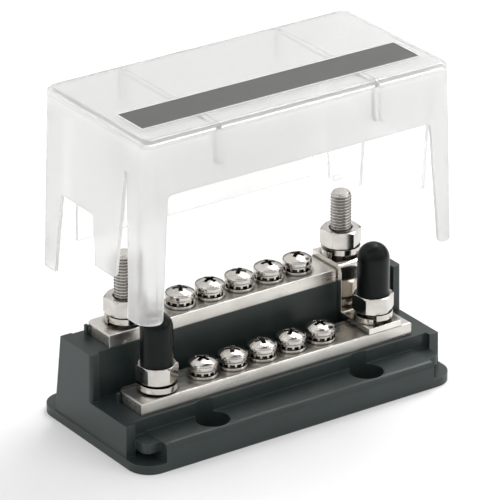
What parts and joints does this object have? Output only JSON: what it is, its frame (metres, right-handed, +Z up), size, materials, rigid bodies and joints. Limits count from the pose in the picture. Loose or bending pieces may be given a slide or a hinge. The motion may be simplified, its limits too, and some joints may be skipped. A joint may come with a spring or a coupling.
{
  "type": "bus bar",
  "caption": "Two-level dual bus bar: stepped insulating base, two bars with terminal screws and end studs, a bent link plate and a clear lift-off cover.",
  "frame": {"origin": "middle of the base's underside", "axes": "+X along the bars to the linked end, +Y from the low front bar to the high rear bar, +Z up"},
  "size_m": [0.175, 0.0874, 0.1603],
  "materials": {
    "base_plastic": "satin moulded",
    "bar_metal": "tin plated, bright",
    "steel": "machined stainless",
    "boot_rubber": "satin moulded",
    "cover_plastic": "clear, lightly frosted",
    "label_card": "printed film, left blank"
  },
  "bodies": {
    "bus_bar": {"base": "base_plastic", "front_bar": "bar_metal", "rear_bar": "bar_metal", "link_plate": "bar_metal", "front_left_stud": "steel", "front_left_spring_washer": "steel", "front_left_nut": "steel", "front_right_stud": "steel", "front_right_spring_washer": "steel", "front_right_nut": "steel", "rear_left_stud": "steel", "rear_left_spring_washer": "steel", "rear_right_stud": "steel", "rear_right_spring_washer": "steel"},
    "front_left_boot": {"front_left_boot": "boot_rubber"},
    "front_right_boot": {"front_right_boot": "boot_rubber"},
    "rear_left_nut": {"rear_left_nut": "steel"},
    "rear_right_nut": {"rear_right_nut": "steel"},
    "front_washers_1": {"front_flat_washer_1": "steel", "front_lock_washer_1": "steel"},
    "front_screw_1": {"front_screw_1": "steel"},
    "front_washers_2": {"front_flat_washer_2": "steel", "front_lock_washer_2": "steel"},
    "front_screw_2": {"front_screw_2": "steel"},
    "front_washers_3": {"front_flat_washer_3": "steel", "front_lock_washer_3": "steel"},
    "front_screw_3": {"front_screw_3": "steel"},
    "front_washers_4": {"front_flat_washer_4": "steel", "front_lock_washer_4": "steel"},
    "front_screw_4": {"front_screw_4": "steel"},
    "front_washers_5": {"front_flat_washer_5": "steel", "front_lock_washer_5": "steel"},
    "front_screw_5": {"front_screw_5": "steel"},
    "rear_washers_1": {"rear_flat_washer_1": "steel", "rear_lock_washer_1": "steel"},
    "rear_screw_1": {"rear_screw_1": "steel"},
    "rear_washers_2": {"rear_flat_washer_2": "steel", "rear_lock_washer_2": "steel"},
    "rear_screw_2": {"rear_screw_2": "steel"},
    "rear_washers_3": {"rear_flat_washer_3": "steel", "rear_lock_washer_3": "steel"},
    "rear_screw_3": {"rear_screw_3": "steel"},
    "rear_washers_4": {"rear_flat_washer_4": "steel", "rear_lock_washer_4": "steel"},
    "rear_screw_4": {"rear_screw_4": "steel"},
    "rear_washers_5": {"rear_flat_washer_5": "steel", "rear_lock_washer_5": "steel"},
    "rear_screw_5": {"rear_screw_5": "steel"},
    "cover": {"cover": "cover_plastic", "label": "label_card"}
  },
  "joints": [
    {"name": "front_left_boot_pull", "type": "slide", "parent": "bus_bar", "child": "front_left_boot", "axis": [0, 0, 1], "range_m": [0, 0.0218]},
    {"name": "front_right_boot_pull", "type": "slide", "parent": "bus_bar", "child": "front_right_boot", "axis": [0, 0, 1], "range_m": [0, 0.0188]},
    {"name": "rear_left_nut_rise", "type": "slide", "parent": "bus_bar", "child": "rear_left_nut", "axis": [0, 0, 1], "range_m": [0, 0.018]},
    {"name": "rear_right_nut_rise", "type": "slide", "parent": "bus_bar", "child": "rear_right_nut", "axis": [0, 0, 1], "range_m": [0, 0.018]},
    {"name": "front_screw_1_rise", "type": "slide", "parent": "bus_bar", "child": "front_washers_1", "axis": [0, 0, 1], "range_m": [0, 0.008]},
    {"name": "front_screw_1_turn", "type": "hinge", "parent": "front_washers_1", "child": "front_screw_1", "pos_m": [-0.0352, -0.0145, 0.03], "axis": [0, 0, 1], "range_deg": [0, 2880]},
    {"name": "front_screw_2_rise", "type": "slide", "parent": "bus_bar", "child": "front_washers_2", "axis": [0, 0, 1], "range_m": [0, 0.008]},
    {"name": "front_screw_2_turn", "type": "hinge", "parent": "front_washers_2", "child": "front_screw_2", "pos_m": [-0.0189, -0.0145, 0.03], "axis": [0, 0, 1], "range_deg": [0, 2880]},
    {"name": "front_screw_3_rise", "type": "slide", "parent": "bus_bar", "child": "front_washers_3", "axis": [0, 0, 1], "range_m": [0, 0.008]},
    {"name": "front_screw_3_turn", "type": "hinge", "parent": "front_washers_3", "child": "front_screw_3", "pos_m": [-0.0026, -0.0145, 0.03], "axis": [0, 0, 1], "range_deg": [0, 2880]},
    {"name": "front_screw_4_rise", "type": "slide", "parent": "bus_bar", "child": "front_washers_4", "axis": [0, 0, 1], "range_m": [0, 0.008]},
    {"name": "front_screw_4_turn", "type": "hinge", "parent": "front_washers_4", "child": "front_screw_4", "pos_m": [0.0137, -0.0145, 0.03], "axis": [0, 0, 1], "range_deg": [0, 2880]},
    {"name": "front_screw_5_rise", "type": "slide", "parent": "bus_bar", "child": "front_washers_5", "axis": [0, 0, 1], "range_m": [0, 0.008]},
    {"name": "front_screw_5_turn", "type": "hinge", "parent": "front_washers_5", "child": "front_screw_5", "pos_m": [0.03, -0.0145, 0.03], "axis": [0, 0, 1], "range_deg": [0, 2880]},
    {"name": "rear_screw_1_rise", "type": "slide", "parent": "bus_bar", "child": "rear_washers_1", "axis": [0, 0, 1], "range_m": [0, 0.008]},
    {"name": "rear_screw_1_turn", "type": "hinge", "parent": "rear_washers_1", "child": "rear_screw_1", "pos_m": [-0.03, 0.0115, 0.03], "axis": [0, 0, 1], "range_deg": [0, 2880]},
    {"name": "rear_screw_2_rise", "type": "slide", "parent": "bus_bar", "child": "rear_washers_2", "axis": [0, 0, 1], "range_m": [0, 0.008]},
    {"name": "rear_screw_2_turn", "type": "hinge", "parent": "rear_washers_2", "child": "rear_screw_2", "pos_m": [-0.0137, 0.0115, 0.03], "axis": [0, 0, 1], "range_deg": [0, 2880]},
    {"name": "rear_screw_3_rise", "type": "slide", "parent": "bus_bar", "child": "rear_washers_3", "axis": [0, 0, 1], "range_m": [0, 0.008]},
    {"name": "rear_screw_3_turn", "type": "hinge", "parent": "rear_washers_3", "child": "rear_screw_3", "pos_m": [0.0026, 0.0115, 0.03], "axis": [0, 0, 1], "range_deg": [0, 2880]},
    {"name": "rear_screw_4_rise", "type": "slide", "parent": "bus_bar", "child": "rear_washers_4", "axis": [0, 0, 1], "range_m": [0, 0.008]},
    {"name": "rear_screw_4_turn", "type": "hinge", "parent": "rear_washers_4", "child": "rear_screw_4", "pos_m": [0.0189, 0.0115, 0.03], "axis": [0, 0, 1], "range_deg": [0, 2880]},
    {"name": "rear_screw_5_rise", "type": "slide", "parent": "bus_bar", "child": "rear_washers_5", "axis": [0, 0, 1], "range_m": [0, 0.008]},
    {"name": "rear_screw_5_turn", "type": "hinge", "parent": "rear_washers_5", "child": "rear_screw_5", "pos_m": [0.0352, 0.0115, 0.03], "axis": [0, 0, 1], "range_deg": [0, 2880]},
    {"name": "cover_lift", "type": "slide", "parent": "bus_bar", "child": "cover", "axis": [0, 0, 1], "range_m": [-0.0685, 0.012]}
  ],
  "couplings": [
    {"joint": "front_screw_1_rise", "follows": "front_screw_1_turn", "m_per_rad": 0.00015915},
    {"joint": "front_screw_2_rise", "follows": "front_screw_2_turn", "m_per_rad": 0.00015915},
    {"joint": "front_screw_3_rise", "follows": "front_screw_3_turn", "m_per_rad": 0.00015915},
    {"joint": "front_screw_4_rise", "follows": "front_screw_4_turn", "m_per_rad": 0.00015915},
    {"joint": "front_screw_5_rise", "follows": "front_screw_5_turn", "m_per_rad": 0.00015915},
    {"joint": "rear_screw_1_rise", "follows": "rear_screw_1_turn", "m_per_rad": 0.00015915},
    {"joint": "rear_screw_2_rise", "follows": "rear_screw_2_turn", "m_per_rad": 0.00015915},
    {"joint": "rear_screw_3_rise", "follows": "rear_screw_3_turn", "m_per_rad": 0.00015915},
    {"joint": "rear_screw_4_rise", "follows": "rear_screw_4_turn", "m_per_rad": 0.00015915},
    {"joint": "rear_screw_5_rise", "follows": "rear_screw_5_turn", "m_per_rad": 0.00015915}
  ]
}
